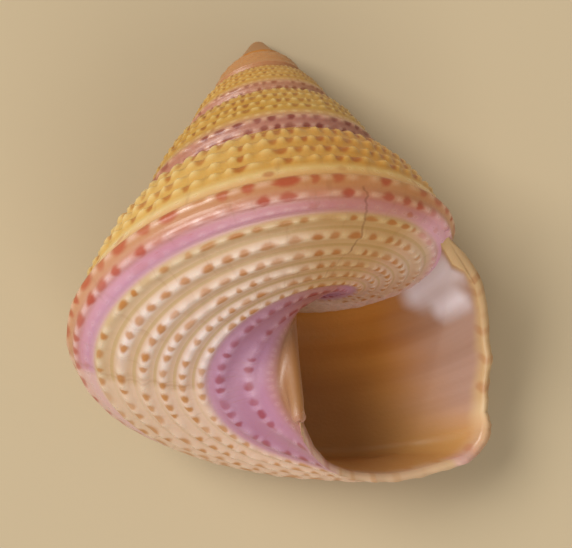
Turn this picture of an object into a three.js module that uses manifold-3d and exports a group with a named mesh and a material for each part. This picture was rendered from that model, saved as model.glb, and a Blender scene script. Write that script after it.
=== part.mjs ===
// The empty shell of a purple-ringed top snail, lying on the side of its spire with the mouth turned up.
// Millimetres, +Z up. The shell grew as one piece, so it is one closed solid.
// The surface is a line that turns round a coiling axis and grows by the same share in every turn,
// so each whorl is a larger copy of the one before and the keels all touch one cone.
// The origin is the middle of the flat spot under the last whorl, where the shell rests.
// The tip points to +Y, the outer lip is on the +X side and the mouth opens up and to -Y.

import * as THREE from 'three';
import { mergeVertices } from 'three/addons/utils/BufferGeometryUtils.js';
import Module from 'manifold-3d';

// Growth
const WHORL_GROWTH = 1.566;        // size of a whorl over the one before it

// The growing line where it crosses the front ray: one row per cord or smooth stretch.
// [distance from the coiling axis, depth below the tip, height of the cord, growth angle of the lip]
const LINE = [
  [6.15, 11.62, 0.00, 278],        // seam, just inside the whorl above
  [7.62, 12.97, 0.24, 262],        // upper beaded cords
  [8.45, 14.05, 0.26, 252],
  [9.02, 15.05, 0.26, 245],
  [9.52, 15.98, 0.26, 238],
  [9.98, 16.85, 0.00, 233],        // smooth ledge above the keel
  [10.33, 17.63, 0.20, 230],       // keel, upper spotted cord
  [10.05, 18.36, 0.20, 227],       // keel, lower spotted cord
  [9.58, 18.78, 0.00, 225],        // smooth purple ring
  [8.98, 19.06, 0.22, 222],        // cords of the base
  [8.00, 19.52, 0.24, 217],
  [7.00, 19.90, 0.24, 212],
  [6.10, 20.14, 0.22, 208],
  [5.20, 20.32, 0.20, 203],
  [4.36, 20.42, 0.18, 199],
  [3.50, 20.48, 0.22, 195],        // spotted cords round the purple middle
  [2.15, 20.46, 0.18, 190],
  [1.20, 20.46, 0.00, 187],        // smooth ridge beside the inner lip
  [0.82, 20.62, 0.00, 186],        // hollow between the ridge and the pillar
];
const KEEL_ROW = 6;
const VALLEY_TURN = 0.35;          // share of a cord's height left between two beads

// The wall, and the inner side where it doesn't follow the outer rows: [distance, depth, lip angle]
const WALL = 0.72;
const INNER_ROWS = [15, 13, 11, 9, 7, 5, 3, 1];
const AXIS_SIDE = [[0.2, 12.5, 200], [0.75, 12.7, 205]];
const PILLAR_SIDE = [[0.56, 15.2, 196], [0.56, 17.2, 188], [0.72, 19.0, 186], [1.45, 19.7, 187]];
const SEAM_SIDE = [[6.38, 12.66, 272], [5.95, 11.8, 278]];
const CEILING = 10.9;              // depth that the inner side is drawn up to where the coil is solid
const CEILING_ARCH = 0.5;          // rise of that ceiling in its middle

// Stretches of the coil: [first growth angle, last one, steps, how open the hollow is at each end]
const STRETCHES = [
  [-120, 60, 22, 1, 1],
  [-300, -120, 18, 0, 1],
  [-480, -300, 14, 0, 0],
  [-660, -480, 12, 0, 0],
  [-840, -660, 10, 0, 0],
  [-1020, -840, 8, 0, 0],
  [-1200, -1020, 6, 0, 0],
];
const LAST_START = 60;
const LAST_STEPS = 22;

// The last stretch of growth flares towards the base, and its wall thins to the lip
const FLARE = 0.25;
const FLARE_REACH = 24;            // degrees of growth before the lip
const THIN_REACH = 16;
const THIN_SHARE = 0.4;

// Pillar in the axis: the line runs down it past the last row, to a foot at one depth all round
const PILLAR_LINE = [[0.56, 0.3], [0.48, 1], [0.2, 1]];   // distance, share of the way to the foot
const PILLAR_FOOT = 25.5;
const PILLAR_REACH = 8;            // longest way to the foot
const PILLAR_LEAST = 0.15;         // shortest way to the foot
const CORE_SLOPE = 0.0225;         // radius over depth of the solid core
const CORE_STOP = 0.2;             // the core ends this far above the foot
const CORE_SIDES = 10;

// Tip: the worn first whorls, run together in a blunt cone, as [radius, depth]
const TIP = [[0, 0.80], [0.30, 0.88], [0.52, 1.15]];
const TIP_FOOT = 4.3;
const TIP_SLOPE = 0.555;           // radius over depth of the cone
const TIP_SIDES = 14;

// How it lies
const REST_CUT = 0.16;             // depth of the worn flat spot
const REST_MIDDLE = 3.9;           // from the keel's edge under the last whorl to the middle of the spot
const FLOOR = { width: 80, depth: 6 };

const SHELL_COLOUR = 0xe2bfa0;
const GRID = 0.004;                // points of the finished surface lie on this grid

const { clamp, lerp, smoothstep } = THREE.MathUtils;
const RAD = Math.PI / 180;
const RATE = Math.log(WHORL_GROWTH) / (2 * Math.PI);
const size = (angle) => Math.exp(RATE * angle * RAD);

// A point of the shell from its distance and depth on the front ray and its growth angle
function grown([distance, depth], angle) {
  const turn = angle * RAD;
  const onFrontRay = new THREE.Vector3(distance * Math.cos(turn), -distance * Math.sin(turn), -depth);
  return onFrontRay.multiplyScalar(size(angle));
}

// The growing line as a smooth curve, with the direction that faces out of the shell
const LAST_ROW = LINE.length - 1;
const line = new THREE.SplineCurve(LINE.map(([distance, depth]) => new THREE.Vector2(distance, depth)));
const atRow = (row) => line.getPoint(row / LAST_ROW);

function outward(row) {
  const along = line.getTangent(row / LAST_ROW);
  return new THREE.Vector2(along.y, -along.x);
}

function lipAngle(row) {
  const first = Math.min(Math.floor(row), LAST_ROW - 1);
  return lerp(LINE[first][3], LINE[first + 1][3], row - first);
}

// Rows of the outer side: cords, and the valleys between two of them
const rows = LINE.flatMap((entry, row) => {
  const between = row < LAST_ROW && entry[2] > 0 && LINE[row + 1][2] > 0;
  return between ? [row, row + 0.5] : [row];
});
const innerRows = INNER_ROWS.map((row) => ({ row, lip: lipAngle(row) }));

// Growth angle at which each point of a slice reaches the lip
const lips = [
  ...rows.map(lipAngle),
  ...PILLAR_LINE.map(() => lipAngle(LAST_ROW)),
  ...[...AXIS_SIDE, ...PILLAR_SIDE].map((entry) => entry[2]),
  ...innerRows.map(({ lip }) => lip),
  ...SEAM_SIDE.map((entry) => entry[2]),
];

// A point of the line moved along its outward direction, and flared by the share of the way to the lip
function moved(row, distance, share) {
  const out = outward(row);
  const point = atRow(row).addScaledVector(out, distance);
  const flare = FLARE * share * share * Math.max(0, out.y);
  return [point.x + flare * Math.max(0, out.x), point.y + flare];
}

// The inner side of a slice, drawn up to a ceiling where the coil is solid
function drawnUp(points, open) {
  return points.map(([distance, depth], j) => {
    const share = (j + 1) / (points.length + 1);
    const across = lerp(AXIS_SIDE[1][0], SEAM_SIDE[1][0], share);
    const ceiling = CEILING - CEILING_ARCH * Math.sin(Math.PI * share);
    return [lerp(across, distance, open), lerp(ceiling, depth, open)];
  });
}

// One slice through the coil, as front-ray distances and depths; even steps are on a bead.
// near(lip, reach) is 0 away from the lip and 1 on it, for the point that reaches the lip at that angle.
function slice(step, angle, open, near = () => 0) {
  const beadShare = step % 2 === 0 ? 1 : VALLEY_TURN;
  const outer = rows.map((row) => {
    const lift = Number.isInteger(row) ? LINE[row][2] * beadShare : 0;
    return moved(row, lift, near(lipAngle(row), FLARE_REACH));
  });
  const ridgeDepth = LINE[LAST_ROW][1];
  const wayDown = clamp(PILLAR_FOOT / size(angle) - ridgeDepth, PILLAR_LEAST, PILLAR_REACH);
  const pillar = PILLAR_LINE.map(([distance, share]) => [distance, ridgeDepth + share * wayDown]);
  const inner = innerRows.map(({ row, lip }) => {
    const wall = WALL * (1 - THIN_SHARE * near(lip, THIN_REACH));
    return moved(row, -wall, near(lip, FLARE_REACH));
  });
  const hollow = [...PILLAR_SIDE, ...inner, SEAM_SIDE[0]].map(([distance, depth]) => [distance, depth]);
  return [...outer, ...pillar, ...AXIS_SIDE, ...drawnUp(hollow, open), SEAM_SIDE[1]];
}

// A closed solid swept through slices; angles(k) gives the growth angle of each point of slice k
function sweep(slices, angles) {
  const count = slices[0].length;
  const positions = slices.flatMap((points, k) => points.flatMap((point, j) => {
    return grown(point, angles(k)[j]).applyMatrix4(rest).toArray();
  }));
  const index = [];
  for (let k = 0; k + 1 < slices.length; k += 1) {
    for (let j = 0; j < count; j += 1) {
      const a = k * count + j;
      const b = k * count + ((j + 1) % count);
      index.push(a, b, a + count, b, b + count, a + count);
    }
  }
  const end = (slices.length - 1) * count;
  for (const [a, b, c] of capFaces(slices[0])) {
    index.push(a, c, b);
  }
  for (const [a, b, c] of capFaces(slices.at(-1))) {
    index.push(end + a, end + b, end + c);
  }
  return solid(positions, index);
}

function capFaces(points) {
  return THREE.ShapeUtils.triangulateShape(points.map(([x, y]) => new THREE.Vector2(x, y)), []);
}

// One stretch of the coil, its slices at even growth angles
function stretch([from, to, steps, openFirst, openLast]) {
  const angleAt = (k) => from + (to - from) * k / steps;
  const slices = [];
  for (let k = 0; k <= steps; k += 1) {
    const open = lerp(openFirst, openLast, smoothstep(k / steps, 0, 1));
    slices.push(slice(k, angleAt(k), open));
  }
  return sweep(slices, (k) => lips.map(() => angleAt(k)));
}

// The last stretch runs out on the slanting lip
function lastStretch() {
  const angleTo = (k, lip) => LAST_START + (lip - LAST_START) * k / LAST_STEPS;
  const slices = [];
  for (let k = 0; k <= LAST_STEPS; k += 1) {
    const near = (lip, reach) => Math.max(0, 1 - (lip - angleTo(k, lip)) / reach);
    slices.push(slice(k, angleTo(k, lipAngle(LAST_ROW)), 1, near));
  }
  return sweep(slices, (k) => lips.map((lip) => angleTo(k, lip)));
}

const library = await Module();
library.setup();

// A solid from points and triangles, turned right side out if it is inside out
function solid(positions, index) {
  const at = (i) => new THREE.Vector3().fromArray(positions, 3 * i);
  let volume = 0;
  for (let i = 0; i < index.length; i += 3) {
    volume += at(index[i]).dot(at(index[i + 1]).cross(at(index[i + 2])));
  }
  const triVerts = Uint32Array.from(volume > 0 ? index : [...index].reverse());
  const mesh = new library.Mesh({ numProp: 3, vertProperties: Float32Array.from(positions), triVerts });
  return new library.Manifold(mesh);
}

// A three.js shape as a solid
function solidOf(geometry, matrix) {
  const bare = geometry.clone().applyMatrix4(matrix);
  bare.deleteAttribute('normal');
  bare.deleteAttribute('uv');
  const merged = mergeVertices(bare);
  return solid(Array.from(merged.attributes.position.array), Array.from(merged.index.array));
}

// Resting place: the keels' cone lies on the floor, the tip points to +Y and the base up and to -Y
const keel = atRow(KEEL_ROW).addScaledVector(outward(KEEL_ROW), LINE[KEEL_ROW][2]);
const lean = Math.atan2(keel.x, keel.y);
const lay = new THREE.Matrix4().makeBasis(
  new THREE.Vector3(0, Math.sin(lean), Math.cos(lean)),
  new THREE.Vector3(1, 0, 0),
  new THREE.Vector3(0, Math.cos(lean), -Math.sin(lean)),
);
const coneEdge = size(180) * Math.hypot(keel.x, keel.y);
const rest = new THREE.Matrix4().makeTranslation(0, coneEdge - REST_MIDDLE, -REST_CUT).multiply(lay);

// A solid turned round the coiling axis, from its radii and depths
function turned(profile, sides) {
  const points = profile.map(([radius, depth]) => new THREE.Vector2(radius, -depth));
  const upright = new THREE.Matrix4().makeRotationX(Math.PI / 2);
  return solidOf(new THREE.LatheGeometry(points.reverse(), sides), rest.clone().multiply(upright));
}

// Solid middle of the coil, from inside the tip to just above the pillar's foot
function core() {
  const start = TIP_FOOT / 2;
  const foot = PILLAR_FOOT - CORE_STOP;
  return turned([[0, start], [CORE_SLOPE * start, start], [CORE_SLOPE * foot, foot], [0, foot]], CORE_SIDES);
}

function tip() {
  return turned([...TIP, [TIP_SLOPE * TIP_FOOT, TIP_FOOT], [0, TIP_FOOT]], TIP_SIDES);
}

// Everything below the floor, to wear the flat spot
function underFloor() {
  const place = new THREE.Matrix4().makeTranslation(0, 0, -FLOOR.depth / 2);
  return solidOf(new THREE.BoxGeometry(FLOOR.width, FLOOR.width, FLOOR.depth), place);
}

// The surface of a solid with its points on a fine grid, without the crumbs and slivers that cuts leave
function geometryOf(manifold) {
  const mesh = manifold.getMesh();
  const names = new Map();
  const points = [];
  const onGrid = Array.from({ length: mesh.numVert }, (_, i) => {
    const place = [0, 1, 2].map((c) => Math.round(mesh.vertProperties[mesh.numProp * i + c] / GRID));
    const name = place.join();
    if (!names.has(name)) {
      names.set(name, points.length);
      points.push(place.map((v) => v * GRID));
    }
    return names.get(name);
  });
  const faces = largestSkin(facesOf(mesh.triVerts, onGrid));
  const corners = faces.flat().flatMap((i) => points[i]);
  const geometry = new THREE.BufferGeometry();
  geometry.setAttribute('position', new THREE.BufferAttribute(Float32Array.from(corners), 3));
  const merged = mergeVertices(geometry, GRID / 4);
  merged.computeVertexNormals();
  return merged;
}

// Faces with three different corners, without pairs that lie back to back
function facesOf(corners, onGrid) {
  const faces = new Map();
  for (let i = 0; i < corners.length; i += 3) {
    const face = [0, 1, 2].map((c) => onGrid[corners[i + c]]);
    const first = face.indexOf(Math.min(...face));
    const [a, b, c] = [face[first], face[(first + 1) % 3], face[(first + 2) % 3]];
    const back = [a, c, b].join();
    if (faces.has(back)) {
      faces.delete(back);
    } else if (a !== b && b !== c && c !== a) {
      faces.set([a, b, c].join(), [a, b, c]);
    }
  }
  return [...faces.values()];
}

// The most faces that join edge to edge; crumbs that hang on by a point are left behind
function largestSkin(faces) {
  const atEdge = new Map();
  faces.forEach((face, f) => {
    for (const c of [0, 1, 2]) {
      const edge = [face[c], face[(c + 1) % 3]].sort((a, b) => a - b).join();
      if (!atEdge.has(edge)) {
        atEdge.set(edge, []);
      }
      atEdge.get(edge).push(f);
    }
  });
  const next = faces.map((_, f) => f);
  const root = (f) => {
    let top = f;
    while (next[top] !== top) {
      top = next[top];
    }
    next[f] = top;
    return top;
  };
  for (const pair of atEdge.values()) {
    if (pair.length === 2) {
      next[root(pair[0])] = root(pair[1]);
    }
  }
  const skins = Map.groupBy(faces.keys(), root);
  const largest = [...skins.values()].sort((a, b) => b.length - a.length)[0];
  return largest.map((f) => faces[f]);
}

let shellSolid = lastStretch();
for (const part of STRETCHES) {
  shellSolid = shellSolid.add(stretch(part));
}
shellSolid = shellSolid.add(core()).add(tip()).subtract(underFloor());

const material = new THREE.MeshStandardMaterial({ color: SHELL_COLOUR, roughness: 0.35, metalness: 0 });
const shell = new THREE.Mesh(geometryOf(shellSolid), material);
shell.name = 'shell';

const topShell = new THREE.Group();
topShell.add(shell);

export default topShell;
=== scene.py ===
# %% [markdown]
# A purple-ringed top shell
# The shell of a sea snail is the simplest kind of thing to describe and one of the hardest to draw:
# one line, the edge of the snail's growing lip, turns round an axis and grows by the same share in
# every turn. All that we see, whorls, cords, beads and spots, is left behind by that moving line.
# This lesson builds the line once, lets Geometry Nodes turn and grow it, and paints the result by
# two numbers that the growth itself supplies: how far round, and how far across.

# %% Load the measured solid that everything has to fit
import math
import bpy
import bmesh
from mathutils import Matrix, Vector


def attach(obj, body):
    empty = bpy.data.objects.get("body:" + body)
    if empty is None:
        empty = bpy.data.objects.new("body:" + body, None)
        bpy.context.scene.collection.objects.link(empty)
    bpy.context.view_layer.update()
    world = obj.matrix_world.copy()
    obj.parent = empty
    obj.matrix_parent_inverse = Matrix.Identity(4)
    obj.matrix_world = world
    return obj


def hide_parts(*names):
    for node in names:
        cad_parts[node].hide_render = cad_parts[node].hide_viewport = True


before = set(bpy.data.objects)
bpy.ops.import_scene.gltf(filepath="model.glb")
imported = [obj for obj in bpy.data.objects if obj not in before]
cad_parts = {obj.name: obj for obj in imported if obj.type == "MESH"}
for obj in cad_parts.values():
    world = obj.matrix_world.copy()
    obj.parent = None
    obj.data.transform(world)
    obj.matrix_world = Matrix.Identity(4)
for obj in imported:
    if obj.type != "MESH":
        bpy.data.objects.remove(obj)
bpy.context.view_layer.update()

MM = 0.001

# %% [markdown]
# The growing line
# On the real shell the lip is a thin edge that runs from the seam over the cords and the keel to
# the pillar in the middle. It could be drawn as a free curve, but then every cord would have to be
# found again by eye. A table with one row per cord is better: the distance from the coiling axis
# and the depth below the tip say where the cord is, and the rest says what the cord is like.

# %% The cords, in millimetres on the ray that faces us
WHORL_GROWTH = 1.566     # size of a whorl over the one before it
KEEL, FOOT = 6, 18       # rows of the keel's edge and of the pillar

# [distance, depth, cord height, cord half-width in rows, beads in a whorl, share of the height left
# between beads, growth angle of the lip]
CORDS = [
    [6.15, 11.62, 0.00, 0.40, 60, 0.50, 286],    # seam, just inside the whorl above
    [7.62, 12.97, 0.25, 0.46, 64, 0.30, 265],    # upper beaded cords
    [8.45, 14.05, 0.26, 0.46, 62, 0.30, 251],
    [9.02, 15.05, 0.26, 0.46, 64, 0.30, 244],
    [9.52, 15.98, 0.25, 0.46, 60, 0.35, 237],
    [9.98, 16.85, 0.02, 0.50, 60, 0.80, 233],    # smooth ledge above the keel
    [10.33, 17.63, 0.17, 0.48, 46, 0.80, 230],   # keel, upper spotted cord
    [10.05, 18.36, 0.14, 0.46, 48, 0.80, 227],   # keel, lower spotted cord
    [9.58, 18.78, 0.04, 0.50, 60, 0.95, 225],    # smooth purple ring
    [8.98, 19.06, 0.18, 0.40, 48, 0.80, 222],    # cords of the base
    [8.00, 19.52, 0.20, 0.38, 46, 0.80, 217],
    [7.00, 19.90, 0.20, 0.38, 45, 0.80, 212],
    [6.10, 20.14, 0.18, 0.38, 44, 0.80, 208],
    [5.20, 20.32, 0.17, 0.38, 42, 0.80, 203],
    [4.36, 20.42, 0.15, 0.40, 38, 0.80, 199],
    [3.50, 20.48, 0.12, 0.40, 30, 0.86, 195],    # spotted cords round the purple middle
    [2.15, 20.46, 0.09, 0.34, 21, 0.90, 190],
    [1.12, 20.46, 0.00, 0.40, 30, 0.90, 187],    # smooth ridge beside the inner lip
    [0.64, 20.58, 0.00, 0.40, 30, 0.90, 186],    # hollow between the ridge and the pillar
]
ROW_SAMPLES = (-0.46, -0.27, -0.09, 0.09, 0.27, 0.46)   # of a row, so that no point is shared by two cords


def spline(points, at):
    """A point of the smooth curve through points; at counts them, so 2.5 is halfway from point 2 to 3."""
    last = len(points) - 1
    i = min(int(at), last - 1)
    w = at - i
    a, b, c, d = (points[min(max(k, 0), last)] for k in (i - 1, i, i + 1, i + 2))
    weights = ((-w + 2 * w * w - w ** 3) / 2, (2 - 5 * w * w + 3 * w ** 3) / 2,
               (w + 4 * w * w - 3 * w ** 3) / 2, (w ** 3 - w * w) / 2)
    return tuple(sum(k * p[n] for k, p in zip(weights, (a, b, c, d))) for n in range(len(points[0])))


def outward(points, at, step=0.02):
    """The direction that faces out of the shell, across the curve."""
    low, high = spline(points, max(at - step, 0)), spline(points, min(at + step, len(points) - 1))
    along = Vector((high[0] - low[0], high[1] - low[1])).normalized()
    return along.y, -along.x


line = [row[:2] for row in CORDS]
lips = [[row[6]] for row in CORDS]
print("line:", len(CORDS), "rows,", round(sum(math.dist(a, b) for a, b in zip(line, line[1:])), 1), "mm long")

# %% [markdown]
# The whole section
# The wall has an inner side too, about 0.7 mm behind the outer one, and near the axis both sides
# run together in the pillar. The section is one closed loop: down the outside, round the pillar's
# foot, up the axis, and back along the inside. Each of its points carries what the growth needs to
# know about it, as attributes on a mesh that has no faces yet.

# %% Points of the section
WALL = 0.72              # thickness, thinner at the lip
INNER_ROWS = range(15, 0, -1)
# [distance, depth, growth angle of the lip] up the axis, down the hollow's side of it, and at the seam
AXIS_SIDE = [[0.03, 12.5, 200], [0.75, 12.7, 205]]
PILLAR_SIDE = [[0.56, 15.2, 196], [0.56, 17.2, 188], [0.72, 19.0, 186], [1.45, 19.7, 187]]
SEAM_SIDE = [[6.38, 12.66, 276], [5.95, 11.8, 286]]
CEILING = 10.9           # depth that the inner side is drawn up to where the coil is solid
CEILING_ARCH = 0.5
# [distance from the axis, share of the way to the foot]
PILLAR_LINE = [[0.54, 0.06], [0.46, 0.18], [0.41, 0.34], [0.38, 0.52], [0.37, 0.70], [0.36, 0.84],
               [0.31, 0.93], [0.20, 0.99], [0.03, 1.0]]
INNER_SAMPLES = 2
INSIDE = 20              # the row number from which a point is on the inner side
INNER_TO_OUTER = 39.0    # an inner row and the outer row behind it add up to this


def section_points():
    """One dictionary for each point of the closed section."""
    points = []
    for number, (_, _, height, half_width, beads, gap, _) in enumerate(CORDS):
        for off in ROW_SAMPLES:
            row = number + off
            if 0 <= row <= FOOT:
                crest = math.cos(min(abs(off) / half_width, 1) * math.pi / 2) ** 2
                points.append(dict(place=spline(line, row), out=outward(line, row), cord=height * crest,
                                   beads=beads, gap=gap, row=row, lip=spline(lips, row)[0]))
    _, foot_depth, *_, foot_lip = CORDS[FOOT]
    for distance, share in PILLAR_LINE:
        points.append(dict(place=(distance, foot_depth), pillar=share, row=FOOT + share, lip=foot_lip))
    for distance, depth, lip in AXIS_SIDE:
        points.append(dict(place=(distance, depth), row=INSIDE - 1, lip=lip))
    inner = [(*place, 0, 0, 0, lip) for *place, lip in PILLAR_SIDE]
    inner += [(*spline(line, row), *outward(line, row), WALL, spline(lips, row)[0]) for row in INNER_ROWS]
    inner.append((*SEAM_SIDE[0][:2], 0, 0, 0, SEAM_SIDE[0][2]))
    count = (len(inner) - 1) * INNER_SAMPLES + 1
    for k in range(count):
        x, y, out_x, out_y, wall, lip = spline(inner, k / INNER_SAMPLES)
        share = (k + 1) / (count + 1)
        across = AXIS_SIDE[1][0] + (SEAM_SIDE[1][0] - AXIS_SIDE[1][0]) * share
        shut = (across, CEILING - CEILING_ARCH * math.sin(math.pi * share))
        points.append(dict(place=(x, y), out=(out_x, out_y), wall=wall, shut=shut,
                           row=INSIDE + k / INNER_SAMPLES, lip=lip))
    points.append(dict(place=SEAM_SIDE[1][:2], row=INSIDE + len(inner), lip=SEAM_SIDE[1][2]))
    return points


def section_mesh(points):
    """The section as a loop of edges, with its facts as point attributes."""
    mesh = bpy.data.meshes.new("growing_section")
    n = len(points)
    mesh.from_pydata([(*p["place"], 0) for p in points], [(i, (i + 1) % n) for i in range(n)], [])
    for name in ("place", "out", "shut"):
        data = mesh.attributes.new(name, "FLOAT_VECTOR", "POINT")
        for i, p in enumerate(points):
            data.data[i].vector = (*p.get(name, p["place"] if name == "shut" else (0, 0)), 0)
    for name in ("cord", "beads", "gap", "row", "lip", "pillar", "wall"):
        data = mesh.attributes.new(name, "FLOAT", "POINT")
        for i, p in enumerate(points):
            data.data[i].value = p.get(name, 0)
    return mesh


section = section_mesh(section_points())
print("section:", len(section.vertices), "points")

# %% [markdown]
# Writing node trees as sums
# A rule such as "grow by 1.566 in each turn" is one line of arithmetic, but a dozen Math nodes.
# A small class that wraps a socket lets the script say the sum and have the nodes made for it.

# %% Wires that add up, and a bench that makes nodes
class Wire:
    """A socket that takes part in sums. Each sum adds a Math node."""

    def __init__(self, bench, socket):
        self.bench, self.socket = bench, socket

    def math(self, operation, *others):
        made = self.bench.node("ShaderNodeMath", {"operation": operation}, dict(enumerate((self, *others))))
        return Wire(self.bench, made.outputs[0])

    def __add__(self, other):
        return self.math("ADD", other)

    def __sub__(self, other):
        return self.math("SUBTRACT", other)

    def __mul__(self, other):
        return self.math("MULTIPLY", other)

    def __truediv__(self, other):
        return self.math("DIVIDE", other)

    def __pow__(self, other):
        return self.math("POWER", other)

    def __rsub__(self, other):
        return (self * -1).math("ADD", other)

    def __rtruediv__(self, other):
        return self.math("POWER", -1.0) * other

    __radd__ = __add__
    __rmul__ = __mul__


class Bench:
    """Makes the nodes of one tree."""

    def __init__(self, tree):
        self.tree = tree

    def node(self, kind, settings=None, inputs=None):
        """A node of that kind: its settings first, then the values or wires of its sockets."""
        made = self.tree.nodes.new(kind)
        for name, value in (settings or {}).items():
            setattr(made, name, value)
        for name, value in (inputs or {}).items():
            socket = made.inputs[name]
            for item in value if isinstance(value, list) else [value]:
                if isinstance(item, Wire):
                    self.tree.links.new(item.socket, socket)
                else:
                    socket.default_value = item
        return made

    def wire(self, kind, settings=None, inputs=None, output=0):
        return Wire(self, self.node(kind, settings, inputs).outputs[output])

    def split(self, vector):
        made = self.node("ShaderNodeSeparateXYZ", inputs={0: vector})
        return [Wire(self, socket) for socket in made.outputs]

    def vector(self, x, y, z):
        return self.wire("ShaderNodeCombineXYZ", inputs={0: x, 1: y, 2: z})

    def between(self, value, low, high, to_low=0.0, to_high=1.0):
        """value brought from low..high to to_low..to_high by an S curve, and held there."""
        return self.wire("ShaderNodeMapRange", {"interpolation_type": "SMOOTHSTEP"},
                         {0: value, 1: low, 2: high, 3: to_low, 4: to_high})


def lerp(a, b, share):
    return a + (b - a) * share


print("bench: one class for sums, one for nodes")


# %% [markdown]
# Growth as a node group
# The path of the sweep is only a row of steps, and Curve to Mesh lays one copy of the section at
# each step, closed at both ends. Then Set Position moves every point to where growth puts it:
# turned by its growth angle and scaled by the size of the whorl at that angle. Turning first and
# scaling after would work as well, because a spiral of this kind is the same at every size.

# %% What the growth is made of
FLARE, FLARE_REACH = 0.25, 24.0          # the lip flares towards the base over its last degrees,
THIN_SHARE, THIN_REACH = 0.55, 20.0      # its wall thins,
LIP_CALM, LIP_CALM_REACH = 0.7, 14.0     # and its cords fade
LIP_TORN = 5.0                           # degrees that the edge of the lip is ragged by
LIP_TORN_SCALE = 1.1                     # its bumps in a millimetre
PILLAR_FOOT = 25.5                       # depth of the pillar's foot, the same for every whorl
PILLAR_REACH, PILLAR_LEAST = 8.0, 0.15   # how far the pillar goes down from a whorl at most and at least
BEAD_WANDER = 0.55                       # of a bead, how far beads stray from even spacing
WANDER_SCALE = 21                        # changes of that straying in a turn
BEAD_UNEVEN = 0.35                       # of a bead's height, from bead to bead
BEAD_POINT = 1.3                         # above 1, beads are narrower than their gaps
CORD_SEED = 7.31                         # sets each cord's beads off against its neighbour's
OLD_TURNS = (-0.95, -0.6)                # turns over which the older whorls pass into the last one
OLD_GAP = 0.35                           # share left between the beads of the older whorls
LIP_STEP = 0.9999                        # a face beyond this share of the steps is the cut end, as the lip's


def new_group(name, sockets):
    """An empty node group with named inputs and one geometry output."""
    tree = bpy.data.node_groups.new(name, "GeometryNodeTree")
    tree.interface.new_socket("Geometry", in_out="OUTPUT", socket_type="NodeSocketGeometry")
    for label, kind, value in sockets:
        socket = tree.interface.new_socket(label, in_out="INPUT", socket_type="NodeSocket" + kind)
        if value is not None:
            socket.default_value = value
    bench = Bench(tree)
    entry = bench.node("NodeGroupInput")
    inputs = {label: Wire(bench, entry.outputs[label]) for label, *_ in sockets}
    return bench, inputs, bench.node("NodeGroupOutput")


def attribute(bench, name, kind="FLOAT"):
    made = bench.node("GeometryNodeInputNamedAttribute", {"data_type": kind}, {"Name": name})
    return Wire(bench, made.outputs["Attribute"])


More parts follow.
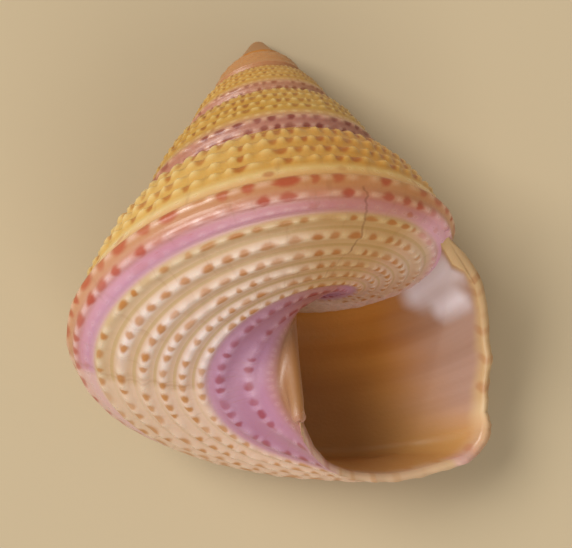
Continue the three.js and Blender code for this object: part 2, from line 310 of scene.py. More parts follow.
def growth_group():
    """A stretch of the coil, from a first to a last growth angle in degrees."""
    bench, given, out = new_group("Coil stretch", [
        ("Section", "Geometry", None), ("First angle", "Float", 0.0), ("Last angle", "Float", 180.0),
        ("Steps", "Int", 100), ("Open at first", "Float", 1.0), ("Open at last", "Float", 1.0),
        ("Slanting lip", "Float", 0.0), ("Growth in a whorl", "Float", WHORL_GROWTH),
    ])
    path = bench.wire("GeometryNodeMeshLine", inputs={"Count": given["Steps"] + 1})
    index = bench.wire("GeometryNodeInputIndex")
    path = bench.wire("GeometryNodeStoreNamedAttribute", {"data_type": "FLOAT", "domain": "POINT"},
                      {"Geometry": path, "Name": "step", "Value": index / given["Steps"]})
    path = bench.wire("GeometryNodeMeshToCurve", inputs={"Mesh": path})
    loop = bench.wire("GeometryNodeMeshToCurve", inputs={"Mesh": given["Section"]})
    tube = bench.wire("GeometryNodeCurveToMesh", inputs={
        "Curve": path, "Profile Curve": loop, "Fill Caps": True})
    tube = bench.wire("GeometryNodeFlipFaces", inputs={"Mesh": tube})

    step, lip, row = attribute(bench, "step"), attribute(bench, "lip"), attribute(bench, "row")
    torn = bench.wire("ShaderNodeTexNoise", {"noise_dimensions": "3D"}, {
        "Vector": attribute(bench, "place", "FLOAT_VECTOR"), "Scale": LIP_TORN_SCALE, "Detail": 2.0})
    lip = lip + (torn - 0.5) * LIP_TORN
    last = lerp(given["Last angle"], lip, given["Slanting lip"])
    angle = lerp(given["First angle"], last, step)
    turns = angle / 360
    size = bench.wire("ShaderNodeMath", {"operation": "POWER"}, {0: given["Growth in a whorl"], 1: turns})

    cord_number = row.math("ROUND")
    seed = cord_number * CORD_SEED
    stray = bench.wire("ShaderNodeTexNoise", {"noise_dimensions": "2D"}, {
        "Vector": bench.vector(turns * WANDER_SCALE, seed, 0), "Scale": 1.0, "Detail": 1.0})
    phase = turns * attribute(bench, "beads") + seed + (stray - 0.5) * (2 * BEAD_WANDER)
    wave = (phase * (2 * math.pi)).math("COSINE") * 0.5 + 0.5
    uneven = bench.wire("ShaderNodeTexWhiteNoise", {"noise_dimensions": "2D"}, {
        "Vector": bench.vector(phase.math("ROUND"), cord_number, 0)})
    old = bench.between(turns, *OLD_TURNS, 1.0, 0.0)
    gap = attribute(bench, "gap")
    gap = lerp(gap, gap.math("MINIMUM", OLD_GAP), old)
    bead = lerp(gap, 1.0 + (uneven - 0.5) * BEAD_UNEVEN, wave ** BEAD_POINT)

    def near(reach):
        return (1 - (lip - angle) / reach).math("MAXIMUM", 0.0) * given["Slanting lip"]

    relief = attribute(bench, "cord") * bead * (1 - near(LIP_CALM_REACH) * LIP_CALM)

    out_x, out_y, _ = bench.split(attribute(bench, "out", "FLOAT_VECTOR"))
    x, y, _ = bench.split(attribute(bench, "place", "FLOAT_VECTOR"))
    shut_x, shut_y, _ = bench.split(attribute(bench, "shut", "FLOAT_VECTOR"))
    push = relief - attribute(bench, "wall") * (1 - near(THIN_REACH) * THIN_SHARE)
    flare = near(FLARE_REACH) ** 2 * FLARE * out_y.math("MAXIMUM", 0.0)
    x = x + out_x * push + flare * out_x.math("MAXIMUM", 0.0)
    y = y + out_y * push + flare
    share = attribute(bench, "pillar")
    way = (PILLAR_FOOT / size - CORDS[FOOT][1]).math("MAXIMUM", PILLAR_LEAST).math("MINIMUM", PILLAR_REACH)
    y = y + share * way
    open_share = lerp(given["Open at first"], given["Open at last"], bench.between(step, 0.0, 1.0))
    drawn_up = row.math("GREATER_THAN", INSIDE - 0.5) * (1 - open_share)
    x, y = lerp(x, shut_x, drawn_up), lerp(y, shut_y, drawn_up)
    turned = angle * (math.pi / 180)
    grown = bench.vector(x * turned.math("COSINE") * size, x * turned.math("SINE") * size * -1, y * size * -1)
    clock = lerp(phase, lip - angle, row.math("GREATER_THAN", INSIDE - 0.5))
    face_step = bench.wire("GeometryNodeFieldOnDomain", {"data_type": "FLOAT", "domain": "FACE"}, {0: step})
    on_edge = face_step.math("GREATER_THAN", LIP_STEP)
    row_there = lerp(row, row.math("MAXIMUM", INNER_TO_OUTER - row), on_edge)
    clock = clock * (1 - on_edge)
    tube = bench.wire("GeometryNodeStoreNamedAttribute", {"data_type": "FLOAT_VECTOR", "domain": "CORNER"},
                      {"Geometry": tube, "Name": "growth", "Value": bench.vector(turns, row_there, clock)})
    tube = bench.wire("GeometryNodeSetPosition", inputs={"Geometry": tube, "Position": grown})
    bench.tree.links.new(tube.socket, out.inputs[0])
    return bench.tree


coil_stretch = growth_group()
print("growth group:", len(coil_stretch.nodes), "nodes")

# %% [markdown]
# Joining the stretches
# A coil that touches itself can't be one clean sweep, so it is swept in stretches of a turn or less,
# which never cross themselves, and the stretches are joined by a Boolean union. Neighbours end in
# the same slice, so no seam is left. The first whorls are worn smooth on the real shell: a blunt
# cone with a ball as its tip stands for them, and a slim one with a small ball closes the axis. The
# tree then lays the shell on its side and presses it flat, by a sixth of a millimetre, where it
# touches the table.

# %% The whole shell as one tree
# [first growth angle, last one, steps, how open the hollow is at each end, slanting lip]
STRETCHES = [
    [-72, -72, 250, 1, 1, 1],
    [-220, -72, 105, 0, 1, 0],
    [-560, -220, 190, 0, 0, 0],
    [-890, -560, 140, 0, 0, 0],
    [-1200, -890, 70, 0, 0, 0],
]
# [radius at the top, depth there, radius at the foot, depth there, growth attribute]
CONES = [
    [0.50, 1.48, 2.386, 4.3, (-4.0, 3.5, 0.5)],
    [0.02, 2.15, 0.30, 25.1, (0.3, 18.8, 0.0)],
]
# [radius, place of the middle, growth attribute]
BALLS = [
    [0.60, (0, 0, -1.81), (-4.0, 3.5, 0.5)],
    [0.32, (-0.24, 0.03, -25.10), (0.3, 18.8, 0.0)],
]
ROUND = 48               # segments of the simple shapes
KEEL_RISE = 0.20         # of the beads on the keel, over its line
REST_CUT = 0.16          # pressed flat on the table
REST_MIDDLE = 3.9        # puts the middle of the flat spot at the origin

keel_out = outward(line, KEEL)
keel_edge = [line[KEEL][i] + KEEL_RISE * keel_out[i] for i in (0, 1)]
lean = math.atan2(*keel_edge)
LAY = Matrix(((0, 1, 0), (math.sin(lean), 0, math.cos(lean)), (math.cos(lean), 0, -math.sin(lean))))
SHIFT = Vector((0, WHORL_GROWTH ** 0.5 * math.hypot(*keel_edge) - REST_MIDDLE, -REST_CUT))


def marked(bench, shape, place, growth):
    """A simple shape moved to its place, with one growth value for all of it."""
    moved = bench.wire("GeometryNodeTransform", inputs={"Geometry": shape, "Translation": place})
    return bench.wire("GeometryNodeStoreNamedAttribute", {"data_type": "FLOAT_VECTOR", "domain": "CORNER"},
                      {"Geometry": moved, "Name": "growth", "Value": growth})


def shell_tree():
    bench, given, out = new_group("Top shell", [
        ("Section", "Geometry", None), ("Growth in a whorl", "Float", WHORL_GROWTH),
        ("Finish", "Material", None),
    ])
    parts = []
    for first, last, steps, open_first, open_last, slanting in STRETCHES:
        parts.append(bench.wire("GeometryNodeGroup", {"node_tree": coil_stretch}, {
            "Section": given["Section"], "Growth in a whorl": given["Growth in a whorl"],
            "First angle": first, "Last angle": last, "Steps": steps,
            "Open at first": open_first, "Open at last": open_last, "Slanting lip": slanting}))
    for top_radius, top, foot_radius, foot, growth in CONES:
        cone = bench.wire("GeometryNodeMeshCone", inputs={
            "Vertices": ROUND, "Radius Top": top_radius, "Radius Bottom": foot_radius, "Depth": foot - top})
        parts.append(marked(bench, cone, (0, 0, -foot), growth))
    for radius, middle, growth in BALLS:
        ball = bench.wire("GeometryNodeMeshUVSphere", inputs={
            "Segments": ROUND, "Rings": ROUND // 2, "Radius": radius})
        parts.append(marked(bench, ball, middle, growth))
    joined = bench.wire("GeometryNodeMeshBoolean", {"operation": "UNION", "solver": "MANIFOLD"},
                        {"Mesh 2": parts})
    laid = bench.wire("GeometryNodeTransform", inputs={
        "Geometry": joined, "Translation": SHIFT, "Rotation": LAY.to_euler()})
    x, y, z = bench.split(bench.wire("GeometryNodeInputPosition"))
    pressed = bench.wire("GeometryNodeSetPosition", inputs={
        "Geometry": laid, "Position": bench.vector(x, y, z.math("MAXIMUM", 0.0))})
    metres = bench.wire("GeometryNodeTransform", inputs={"Geometry": pressed, "Scale": (MM, MM, MM)})
    real = bench.wire("GeometryNodeRealizeInstances", inputs={"Geometry": metres})
    finished = bench.wire("GeometryNodeSetMaterial", inputs={"Geometry": real, "Material": given["Finish"]})
    bench.tree.links.new(finished.socket, out.inputs[0])
    return bench.tree


finish = bpy.data.materials.new("shell_finish")


def grown_shell():
    """The tree's result as one plain mesh object, clean and closed."""
    blank = bpy.data.objects.new("growing_section", section)
    bpy.context.scene.collection.objects.link(blank)
    modifier = blank.modifiers.new("growth", "NODES")
    modifier.node_group = shell_tree()
    names = {item.name: item.identifier for item in modifier.node_group.interface.items_tree
             if item.in_out == "INPUT"}
    modifier[names["Growth in a whorl"]] = WHORL_GROWTH
    modifier[names["Finish"]] = finish
    view = bpy.context.evaluated_depsgraph_get()
    mesh = bpy.data.meshes.new_from_object(blank.evaluated_get(view), depsgraph=view)
    bpy.data.objects.remove(blank)
    shell = bpy.data.objects.new("shell_dressed", mesh)
    bpy.context.scene.collection.objects.link(shell)
    return shell


shell = grown_shell()
print("shell:", len(shell.data.vertices), "points,", len(shell.data.polygons), "faces,",
      [a.name for a in shell.data.attributes if not a.name.startswith(".")])

# %% [markdown]
# Sweeping up
# A Boolean leaves crumbs where two surfaces nearly touch. The largest skin is the shell; the
# others are a few faces each. Growing a selection over the edges finds them, without an operator.
# Where two stretches meet it can also keep both end faces, back to back, as a slit without any
# width. Both are found by their shared middle and opposite normals. Without them the rims touch
# and can be welded, so that the shell is solid there.

# %% Keep the largest skin
LARGE_FACE = 30          # corners; only the ends of stretches have more
TOUCHING = 2e-6          # metres
OPPOSITE = -0.99         # of two normals' product, from which they face each other
HELPERS = ("step", "beads", "wall", "cord", "lip", "row", "pillar", "gap", "shut", "place", "out")


def skins(mesh):
    """The faces of a bmesh in groups that join edge to edge."""
    left = set(mesh.faces)
    while left:
        found, todo = set(), [left.pop()]
        while todo:
            face = todo.pop()
            found.add(face)
            for edge in face.edges:
                for other in edge.link_faces:
                    if other in left:
                        left.remove(other)
                        todo.append(other)
        yield found


def without_slits(mesh):
    """Two stretches can keep their ends face to face: both faces go, and their rims are welded."""
    ends = [(face, face.calc_center_median()) for face in mesh.faces if len(face.verts) > LARGE_FACE]
    inside = [face for face, middle in ends
              if any((middle - other_middle).length < TOUCHING and face.normal.dot(other.normal) < OPPOSITE
                     for other, other_middle in ends)]
    bmesh.ops.delete(mesh, geom=inside, context="FACES")
    rims = [vert for vert in mesh.verts if vert.is_boundary]
    bmesh.ops.remove_doubles(mesh, verts=rims, dist=TOUCHING)
    print("end faces taken out:", len(inside))


def swept(shell):
    """Crumbs, slits and helper attributes taken off the shell's mesh."""
    mesh = bmesh.new()
    mesh.from_mesh(shell.data)
    groups = sorted(skins(mesh), key=len)
    crumbs = [face for group in groups[:-1] for face in group]
    bmesh.ops.delete(mesh, geom=crumbs, context="FACES")
    without_slits(mesh)
    bmesh.ops.delete(mesh, geom=[edge for edge in mesh.edges if not edge.link_faces], context="EDGES")
    bmesh.ops.delete(mesh, geom=[vert for vert in mesh.verts if not vert.link_faces], context="VERTS")
    bmesh.ops.triangulate(mesh, faces=[face for face in mesh.faces if len(face.verts) > LARGE_FACE])
    for face in mesh.faces:
        face.smooth = True
    for edge in mesh.edges:
        edge.smooth = True
    open_edges = sum(len(edge.link_faces) != 2 for edge in mesh.edges)
    print("crumbs:", len(crumbs), "faces; open edges:", open_edges,
          "; triangles:", sum(len(face.verts) - 2 for face in mesh.faces))
    mesh.to_mesh(shell.data)
    mesh.free()
    for name in HELPERS:
        if name in shell.data.attributes:
            shell.data.attributes.remove(shell.data.attributes[name])


swept(shell)

# %% [markdown]
# Painting by growth
# The snail paints only at its lip, so every mark on a shell is a story of time: a cord is one
# place on the lip that kept its colour, and a dot is a place that switched on and off. The mesh
# carries that clock as an attribute called growth: turns, row and bead number. A pattern made
# from it bends with the whorls by itself, which a texture laid on from outside would never do.

# %% Colours by row of the growing line, and by age, with painted light and shade in some of them
ROWS = (0.0, 20.0)       # what the ramps by row span
DEGREES = (-360.0, 240.0)


def paint(code):
    """A colour written as on the web, as the linear values that a shader wants."""
    parts = [int(code[i:i + 2], 16) / 255 for i in (0, 2, 4)]
    return (*(v / 12.92 if v <= 0.04045 else ((v + 0.055) / 1.055) ** 2.4 for v in parts), 1.0)


# (row, colour), for the ground between the marks, on the last whorl and on the whorls before it
GROUND_AND_HOLLOW_SHADE = [
    (0.0, "cea048"), (0.5, "d0a450"), (4.3, "d2a652"), (4.8, "e6ca8e"), (5.4, "e0b47c"), (6.0, "c08a58"),
    (6.5, "c08862"), (7.1, "c4867c"), (7.6, "c68a9e"), (8.2, "c68aa8"), (8.5, "cc9aaa"), (8.8, "c8aa80"),
    (9.6, "d0ae8c"), (13.9, "ceaa92"), (14.5, "b8849e"), (15.0, "aa7490"), (16.5, "b07a96"),
    # from row 17 on, the cream ridge, hollow and pillar are painted darker as the shade of that hollow
    (17.0, "aa767c"), (17.6, "94644c"), (18.4, "a4784e"), (20.0, "ac8054"),
]
OLD_GROUND = [
    (0.0, "c4923a"), (0.5, "c8963c"), (4.4, "c89a42"), (5.0, "cfa066"), (5.5, "c6947c"), (6.1, "c08682"),
    (7.0, "c28a84"), (20.0, "c28a84"),
]
SPOTS = [
    (0.0, "b06418"), (4.6, "b06418"), (5.4, "b4542e"), (7.5, "ae4634"), (8.4, "b87428"),
    (14.2, "b87a34"), (14.6, "984050"), (20.0, "984050"),
]
OLD_SPOTS = [(0.0, "a0601e"), (4.8, "a0601e"), (5.5, "8c4038"), (20.0, "86383c")]
# pale bead tops: partly the beads' own paler colour, partly painted highlight; from row 17 on darker, as
# painted shade of the hollow
BEAD_TOPS_LIGHT_AND_SHADE = [
    (0.0, "f6e2a8"), (4.6, "f6e2a8"), (5.4, "e6c0a0"), (7.2, "e6c4c8"), (8.2, "e8ced8"), (9.0, "ead6bc"),
    (14.0, "e8d2c6"), (14.8, "cca2c0"), (16.6, "c898b0"), (17.4, "ac8064"), (20.0, "bc9068"),
]
# (growth angle, colour that the others are multiplied by); partly the shell's change with age, partly
# painted light: white near -75 degrees lifts the ring's right-hand corner, which lies in shade
AGE_AND_LIGHT_TINT = [
    (-360, "f0e8d0"), (-180, "dccaa4"), (-105, "f6ecec"), (-75, "ffffff"), (-60, "fff4ee"), (-46, "f0ddb2"),
    (-20, "ecdab2"), (8, "f6eee0"), (50, "ffffff"), (120, "fffefc"), (240, "fff6ee"),
]
# (row, share of the gaps that hold a spot)
SPOT_SHARE = [
    (0.0, 0.45), (0.9, 0.55), (1.6, 0.62), (4.4, 0.66), (4.7, 0.0), (5.5, 0.0), (5.7, 0.80), (7.4, 0.74),
    (7.7, 0.0), (8.5, 0.0), (8.7, 0.88), (12.4, 0.82), (14.4, 0.7), (14.7, 0.92), (15.5, 0.92),
    (15.7, 0.6), (16.4, 0.5), (16.6, 0.0),
]
# (row, half-width of a spot in rows)
SPOT_WIDTH = [
    (0.0, 0.32), (5.0, 0.32), (5.6, 0.42), (7.4, 0.38), (8.6, 0.22), (14.2, 0.24), (14.8, 0.22), (20.0, 0.16),
]
# (row, growth angle of the old crack)
CRACK = [(6.5, -26.0), (6.9, -27.0), (9.25, -30.0), (9.95, -31.5), (10.7, -31.0), (13.5, -22.0)]


def ramp(bench, value, span, stops):
    """A colour, or a grey for a number, that changes with value from one stop to the next."""
    low, high = span
    made = bench.node("ShaderNodeValToRGB", inputs={0: (value - low) / (high - low)})
    bands = made.color_ramp.elements
    for k, (at, level) in enumerate(stops):
        share = (at - low) / (high - low)
        band = bands[k] if k < 2 else bands.new(share)
        band.position = share
        band.color = paint(level) if isinstance(level, str) else (level, level, level, 1)
    return Wire(bench, made.outputs["Color"])


def blend(bench, share, below, above, mode="MIX"):
    """Two colours mixed; share says how much of the second."""
    made = bench.node("ShaderNodeMix", {"data_type": "RGBA", "blend_type": mode},
                      {"Factor": share, 6: below, 7: above})
    return Wire(bench, made.outputs[2])


def noise(bench, x, y, z, detail=2.0):
    """Soft noise from 0 to 1 at that place; a step of 1 is about one bump."""
    return bench.wire("ShaderNodeTexNoise", {"noise_dimensions": "3D"}, {
        "Vector": bench.vector(x, y, z), "Scale": 1.0, "Detail": detail, "Roughness": 0.5})


print("ramps:", len(GROUND_AND_HOLLOW_SHADE), "stops of ground on the last whorl,", len(SPOTS), "of spots")

# %% [markdown]
# Spots and beads
# A spot sits in the gap between two beads, but not in every gap. Rounding the bead number down
# names the gap, and white noise of that name decides whether it is coloured, how long the spot is
# and how dark. Nothing is placed by hand, and the same gap gets the same spot in every render.

# %% Spots, beads and the crack as masks
SPOT_HALF_LENGTH = (0.22, 0.17)      # of a bead: the least, and what chance adds
SPOT_EDGE = (0.45, 1.25)             # of a spot's half-size, where its edge starts to fade and ends
SPOT_SHIFT = 0.12                    # of a bead, how far spots stray along the cord
SPOT_WOBBLE = (0.25, 0.15)           # how uneven a spot's outline is along the cord and across
SPOT_PALEST = 0.6                    # strength of the palest spots
CREST = (0.02, 0.34)                 # rows from a cord's middle over which a bead falls off
# the pale bead top is partly a painted highlight
BEAD_SHINE = 1.6                     # above 1, the pale top is smaller than the bead
CRACK_WIDTH = (0.12, 0.75)           # degrees of growth
CRACK_ROWS, CRACK_END_ROWS = (6.6, 10.9), (10.9, 13.5)


def spot_mask(bench, row, phase):
    """1 in a spot, 0 outside, from the bead number and the row."""
    cord = row.math("ROUND")
    gap = phase.math("FLOOR")
    chance = bench.node("ShaderNodeTexWhiteNoise", {"noise_dimensions": "2D"},
                        {"Vector": bench.vector(gap, cord, 0)})
    picked, length, shade = bench.split(Wire(bench, chance.outputs["Color"]))
    wobble = noise(bench, phase * 1.3, row * 4, 0.0) - 0.5
    wobble_along, wobble_across = SPOT_WOBBLE
    least, more = SPOT_HALF_LENGTH
    along = (phase - gap - 0.5 + (shade - 0.5) * SPOT_SHIFT + wobble * wobble_along) / (least + length * more)
    across = (row - cord + wobble * wobble_across) / ramp(bench, row, ROWS, SPOT_WIDTH)
    distance = (along * along + across * across).math("SQRT")
    shown = bench.between(picked - ramp(bench, row, ROWS, SPOT_SHARE), 0.0, 0.10, 1.0, 0.0)
    return bench.between(distance, *SPOT_EDGE, 1.0, 0.0) * shown * (SPOT_PALEST + shade * (1 - SPOT_PALEST))


def bead_mask(bench, row, phase):
    """1 on top of a bead, 0 between beads and off the cords."""
    off = row - row.math("ROUND")
    crest = bench.between(off.math("ABSOLUTE"), *CREST, 1.0, 0.0)
    return ((phase * (2 * math.pi)).math("COSINE") * 0.5 + 0.5) ** BEAD_SHINE * crest


def band(bench, value, low, high, soft):
    """1 from low to high, falling to 0 over soft on both sides."""
    return bench.between(value, low - soft, low) * bench.between(value, high, high + soft, 1.0, 0.0)


def crack_mask(bench, degrees, row):
    """The thin old crack across the keel and the base, and its faint end."""
    wander = noise(bench, row * 2.2, 0.0, 4.0, 3.0) - 0.5
    reach = 40               # a grey ramp holds 0 to 1, so angles from -reach to 0 are brought there
    stops = [(at, (angle + reach) / reach) for at, angle in CRACK]
    middle = ramp(bench, row, ROWS, stops) * reach - reach + wander * 2.5
    width = (degrees - middle).math("ABSOLUTE")
    strong = band(bench, row, *CRACK_ROWS, 0.2)
    faint = band(bench, row, *CRACK_END_ROWS, 0.3)
    return bench.between(width, *CRACK_WIDTH, 1.0, 0.0) * (strong * 0.4 + faint * 0.2)


def rod_mask(bench, place, first, last, radius):
    """1 along a line between two points, fading to 0 at the radius; in millimetres."""
    way = Vector(last) - Vector(first)
    gone = [axis - at for axis, at in zip(place, first)]
    share = sum(axis * (step / way.length_squared) for axis, step in zip(gone, way))
    share = share.math("MAXIMUM", 0.0).math("MINIMUM", 1.0)
    x, y, z = (axis - share * step for axis, step in zip(gone, way))
    distance = (x * x + y * y + z * z).math("SQRT")
    return bench.between(distance, 0.0, radius, 1.0, 0.0)


print("spots:", SPOT_HALF_LENGTH[0], "to", round(sum(SPOT_HALF_LENGTH), 2), "of a bead in half-length")


# %% [markdown]
# The finish
# Outside, the ground colour comes from the row, and growth made the older part duller and the
# newest part paler; the tint by growth angle is partly painted light too, lifting the shaded
# right-hand corner of the ring. The glints on the base are painted highlight, the pale bead tops
# partly so, and the ridge and pillar are painted darker as the shade of their hollow. Inside, the
# mouth is amber deep down and pearly near the lip, with the bright patch of nacre, partly a painted
# reflection, where the lip meets the whorl above. The lip itself is thin enough to show the
# outer colours, so its edge takes them from the same ramps.

# %% What the layers are made of
# of these, the base glint is a painted highlight, the pink of the ring's corner partly painted light, and the
# nacre's near-white partly a painted reflection
TONES = {
    "base glint": "f2e4e8", "base groove": "b4985e", "new growth": "e6c8b4", "growth line": "9a6a44",
    "crack": "7a4c2a", "faded": "cc9c66", "worn tip": "c48e66", "glaze": "e2c4c0", "pink_and_painted_light": "e8b4c8",
    "pillar foot": "b27c78", "ochre": "ffdca0",
    "amber": "b06824", "amber streak": "d49040", "amber below": "ce9f60",
    "pearl": "a8806a", "pearl streak": "c8a292", "lip": "d8b894", "nacre and reflection": "fdf0f6",
}
PAINT = {name: paint(code) for name, code in TONES.items()}
# rows that a layer covers
RING_ROWS, PINK_LIGHT_ROWS = (7.7, 8.3), (7.0, 9.0)
GLINT_ROWS, GROOVE_ROWS = (9.6, 14.2), (8.8, 14.3)
NEW_ROWS, BREAK_ROWS = (5.2, 14.0), (6.6, 13.0)
# growth angles, in degrees, that a layer covers
GLINT_DEGREES, PINK_LIGHT_DEGREES = (0.0, 70.0), (-98.0, -64.0)
OCHRE_DEGREES, BREAK_DEGREES = (-110.0, -40.0), (88.9, 89.7)
# turns over which the colour fades, and those over which the worn tip begins
FADED_TURNS, TIP_TURNS = (-2.2, -1.6), (-2.6, -2.2)
# [one end, other end, radius] of each bright patch of nacre, its pale colour brightened as a painted
# reflection, in millimetres
NACRE_AND_REFLECTION = [[(7.2, 5.3, 4.8), (9.0, 6.7, 8.5), 1.7], [(8.6, 4.5, 5.4), (9.4, 4.9, 6.9), 1.3]]
LIP_BEADS = 60           # spots in a whorl, as the lip's edge shows them
print("layers:", len(TONES), "tones")


# %% Painted outside
def outer_colour(bench, turns, row, phase, y, mottle):
    """The painted outside, and where its beads are."""
    degrees = turns * 360
    old = bench.between(turns, *OLD_TURNS, 1.0, 0.0)
    # the ground colour, with painted shade on the ridge, hollow and pillar
    ground = blend(bench, old, ramp(bench, row, ROWS, GROUND_AND_HOLLOW_SHADE), ramp(bench, row, ROWS, OLD_GROUND))
    spots = blend(bench, old, ramp(bench, row, ROWS, SPOTS), ramp(bench, row, ROWS, OLD_SPOTS))
    pale_light_and_shade = ramp(bench, row, ROWS, BEAD_TOPS_LIGHT_AND_SHADE)
    colour = blend(bench, (mottle - 0.35) * 0.5, ground, pale_light_and_shade)
    bead = bead_mask(bench, row, phase)
    on_ring = band(bench, row, *RING_ROWS, 0.2)
    # bead tops made pale: partly their own colour, partly painted highlight
    colour = blend(bench, bead * (1 - on_ring * 0.75) * 0.6, colour, pale_light_and_shade)

    off = row - row.math("ROUND")
    # the glint on the crests of the base cords is a painted highlight
    crest = bench.between(off.math("ABSOLUTE"), 0.08, 0.40, 1.0, 0.0)
    glint = crest * band(bench, row, *GLINT_ROWS, 0.4) * band(bench, degrees, *GLINT_DEGREES, 30.0)
    colour = blend(bench, glint * 0.8 * mottle, colour, PAINT["base glint"])
    groove = bench.between((off + 0.42).math("ABSOLUTE"), 0.03, 0.14, 1.0, 0.0)
    groove = groove * band(bench, row, *GROOVE_ROWS, 0.2)
    colour = blend(bench, groove * 0.5, colour, PAINT["base groove"])

    ragged = degrees + (mottle - 0.5) * 10
    new = bench.between(ragged, 90.0, 94.0) * band(bench, row, *NEW_ROWS, 0.4)
    colour = blend(bench, new * 0.55, colour, PAINT["new growth"])
    colour = blend(bench, spot_mask(bench, row, phase) * 0.92, colour, spots)
    lines = noise(bench, turns * 130, row * 0.35, 5.0, 3.0)
    colour = blend(bench, bench.between(lines, 0.56, 0.80) * 0.28, colour, PAINT["growth line"])
    colour = blend(bench, crack_mask(bench, degrees, row), colour, PAINT["crack"])
    break_line = band(bench, ragged, *BREAK_DEGREES, 0.5) * band(bench, row, *BREAK_ROWS, 0.6)
    colour = blend(bench, break_line * 0.18, colour, PAINT["growth line"])

    faded = bench.between(turns, *FADED_TURNS, 1.0, 0.0)
    colour = blend(bench, faded * 0.35, colour, PAINT["faded"])
    tip = bench.between(turns, *TIP_TURNS, 1.0, 0.0)
    colour = blend(bench, tip * 0.85, colour, PAINT["worn tip"])
    glazed = bench.between(turns + (row - 6.5) * 0.022, -0.27, -0.22, 1.0, 0.0) * bench.between(row, 7.2, 8.0)
    colour = blend(bench, glazed * 0.8, colour, PAINT["glaze"])
    # pink over the ring's right-hand corner: partly the shell's own pink, partly painted light on a corner in
    # shade
    pink_and_painted_light = band(bench, row, *PINK_LIGHT_ROWS, 0.5) * band(bench, degrees, *PINK_LIGHT_DEGREES, 14.0)
    colour = blend(bench, pink_and_painted_light * 0.5, colour, PAINT["pink_and_painted_light"])
    foot = bench.between(y, 0.9, -0.9) * bench.between(row, 17.0, 17.6)
    colour = blend(bench, foot, colour, PAINT["pillar foot"])
    # tint by growth angle: partly age, partly painted light on the shaded right-hand corner
    colour = blend(bench, 1.0, colour, ramp(bench, degrees, DEGREES, AGE_AND_LIGHT_TINT), "MULTIPLY")
    ochre = bench.between(row, 4.2, 4.8, 1.0, 0.0) * band(bench, degrees, *OCHRE_DEGREES, 60.0)
    return blend(bench, ochre * 0.35, colour, PAINT["ochre"], "MULTIPLY"), bead


print("outside:", len(AGE_AND_LIGHT_TINT), "ages of colour, and a crack through", len(CRACK), "points")


# %% Amber and pearl inside
def inner_colour(bench, turns, row, edge, place, mottle):
    """The inside of the mouth; edge is the distance to the lip in degrees of growth."""
    x, y, _ = place
    streaks = noise(bench, turns * 3.0, row * 1.3, 7.0, 3.0)
    amber = blend(bench, streaks, PAINT["amber"], PAINT["amber streak"])
    amber = blend(bench, bench.between(y, 3.0, -4.0) * 0.8, amber, PAINT["amber below"])
    pearl = blend(bench, streaks, PAINT["pearl"], PAINT["pearl streak"])
    drift = (mottle - 0.5) * 1.6
    pearly = bench.between(x + drift, 4.6, 9.6) * bench.between(y + drift, -3.6, -0.6)
    colour = blend(bench, pearly, amber, pearl)

    behind = INNER_TO_OUTER - row
    lip = ramp(bench, behind, ROWS, GROUND_AND_HOLLOW_SHADE)
    lip = blend(bench, 0.55, lip, PAINT["lip"])
    lip_spots = spot_mask(bench, behind, turns * LIP_BEADS)
    lip = blend(bench, lip_spots * 0.5, lip, ramp(bench, behind, ROWS, SPOTS))
    colour = blend(bench, bench.between(edge + drift * 1.5, 0.5, 6.0, 1.0, 0.0) * 0.85, colour, lip)
    # bright patches of nacre: the nacre's own pale colour, brightened as a painted reflection in a corner
    # that the whorl above shades
    for first, last, radius in NACRE_AND_REFLECTION:
        shine = rod_mask(bench, place, first, last, radius) * bench.between(edge, 1.0, 7.0)
        colour = blend(bench, shine * (0.6 + streaks * 0.5), colour, PAINT["nacre and reflection"])
    return colour


print("inside: amber, pearl and", len(NACRE_AND_REFLECTION), "bright patches")


# %% The whole finish on its shader
GRAIN_HEIGHT = 0.00005   # metres
FIXED = {
    "Subsurface Weight": 0.12, "Subsurface Radius": (0.9, 0.5, 0.3), "Subsurface Scale": 0.0006,
    "Coat Weight": 0.16, "Coat Roughness": 0.25, "Specular IOR Level": 0.5,
}


def dress_shell(material):
    """The whole finish, from the growth attribute and the place in the object."""
    material.use_nodes = True
    bench = Bench(material.node_tree)
    shader = material.node_tree.nodes["Principled BSDF"]
    turns, row, clock = bench.split(
        bench.wire("ShaderNodeAttribute", {"attribute_name": "growth"}, output="Vector"))
    place = [axis / MM for axis in bench.split(bench.wire("ShaderNodeTexCoord", output="Object"))]
    x, y, z = place

    mottle = noise(bench, turns * 9, row * 0.9, 3.0, 3.0)
    outer, bead = outer_colour(bench, turns, row, clock, y, mottle)
    inner = inner_colour(bench, turns, row, clock, place, mottle)
    outside = row.math("LESS_THAN", INSIDE - 0.5)
    colour = blend(bench, outside, inner, outer)
    grain = noise(bench, turns * 260, row * 6, 1.0, 2.0) * 0.6 + noise(bench, x * 6, y * 6, z * 6, 3.0) * 0.4
    bump = bench.wire("ShaderNodeBump", inputs={"Strength": 0.4, "Distance": GRAIN_HEIGHT, "Height": grain})
    rough = 0.38 - bead * outside * 0.12 + (grain - 0.5) * 0.2
    for name, wire in {"Base Color": colour, "Normal": bump, "Roughness": rough}.items():
        bench.tree.links.new(wire.socket, shader.inputs[name])
    for name, value in FIXED.items():
        shader.inputs[name].default_value = value


dress_shell(finish)
print("finish:", len(finish.node_tree.nodes), "nodes")

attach(shell, "root")
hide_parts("shell")

# %% [markdown]
# A table to lie on, and soft light
# The shell is photographed from almost straight above, on something plain and sand coloured. A
# large soft light from the upper left gives the small glints on the beads. A weaker one from below
# the picture keeps the mouth and the lower side readable, and the room's own light does the rest.

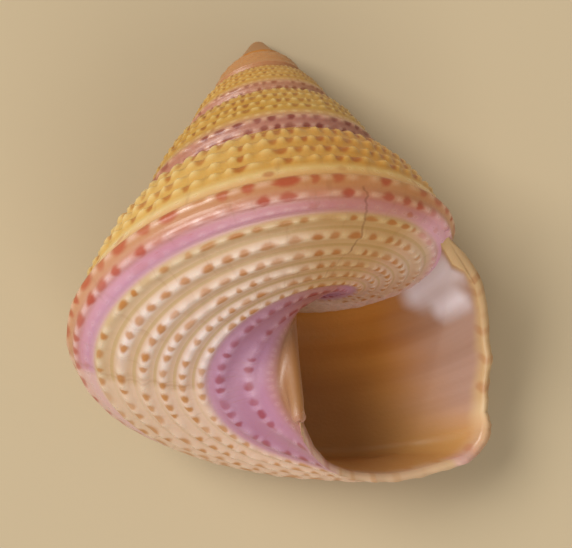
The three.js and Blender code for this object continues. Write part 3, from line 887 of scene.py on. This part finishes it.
# %% Table, lights and camera
TABLE_SIZE = 0.6
SAND = "bead8e"
bpy.ops.mesh.primitive_plane_add(size=TABLE_SIZE)
table = bpy.context.active_object
table.name = "table"
table_finish = bpy.data.materials.new("table_finish")
table_finish.use_nodes = True
table_shader = table_finish.node_tree.nodes["Principled BSDF"]
table_shader.inputs["Base Color"].default_value = paint(SAND)
table_shader.inputs["Roughness"].default_value = 0.9
table.data.materials.append(table_finish)

# name: [place in metres, size, power in watts, colour]
LIGHTS = {
    "window": [(-0.34, 0.26, 0.50), 0.34, 3.4, (1.0, 0.97, 0.93)],
    "fill": [(0.06, -0.42, 0.42), 0.40, 1.3, (1.0, 0.95, 0.89)],
}
MIDDLE = Vector((0, 0.008, 0.007))       # of the shell, where the lights look
ROOM_COLOUR, ROOM_LIGHT = (1.0, 0.95, 0.88, 1), 0.36
for name, (place, size, power, colour) in LIGHTS.items():
    lamp = bpy.data.lights.new(name, "AREA")
    lamp.size, lamp.energy, lamp.color = size, power, colour
    light = bpy.data.objects.new(name, lamp)
    light.location = place
    light.rotation_euler = (MIDDLE - Vector(place)).to_track_quat("-Z", "Y").to_euler()
    bpy.context.scene.collection.objects.link(light)

world = bpy.data.worlds.new("room")
bpy.context.scene.world = world
world.use_nodes = True
sky = world.node_tree.nodes["Background"]
sky.inputs["Color"].default_value = ROOM_COLOUR
sky.inputs["Strength"].default_value = ROOM_LIGHT
bpy.context.scene.view_settings.view_transform = "Standard"

CAMERA_PLACE = (0.00015, 0.009592, 0.090143)
CAMERA_TILT, CAMERA_ROLL = math.radians(-1.57), math.radians(-6.46)
CAMERA_LENS, CAMERA_SENSOR = 95.8, 36    # millimetres
NEAREST, FARTHEST = 0.005, 5             # metres that the camera sees
lens = bpy.data.cameras.new("camera")
lens.lens, lens.sensor_width = CAMERA_LENS, CAMERA_SENSOR
lens.clip_start, lens.clip_end = NEAREST, FARTHEST
camera = bpy.data.objects.new("camera", lens)
camera.matrix_world = (Matrix.Translation(CAMERA_PLACE) @ Matrix.Rotation(CAMERA_TILT, 4, "X")
                       @ Matrix.Rotation(CAMERA_ROLL, 4, "Z"))
bpy.context.scene.collection.objects.link(camera)
bpy.context.scene.camera = camera
print("camera:", round(camera.location.z / MM, 1), "mm above the table,", CAMERA_LENS, "mm lens")
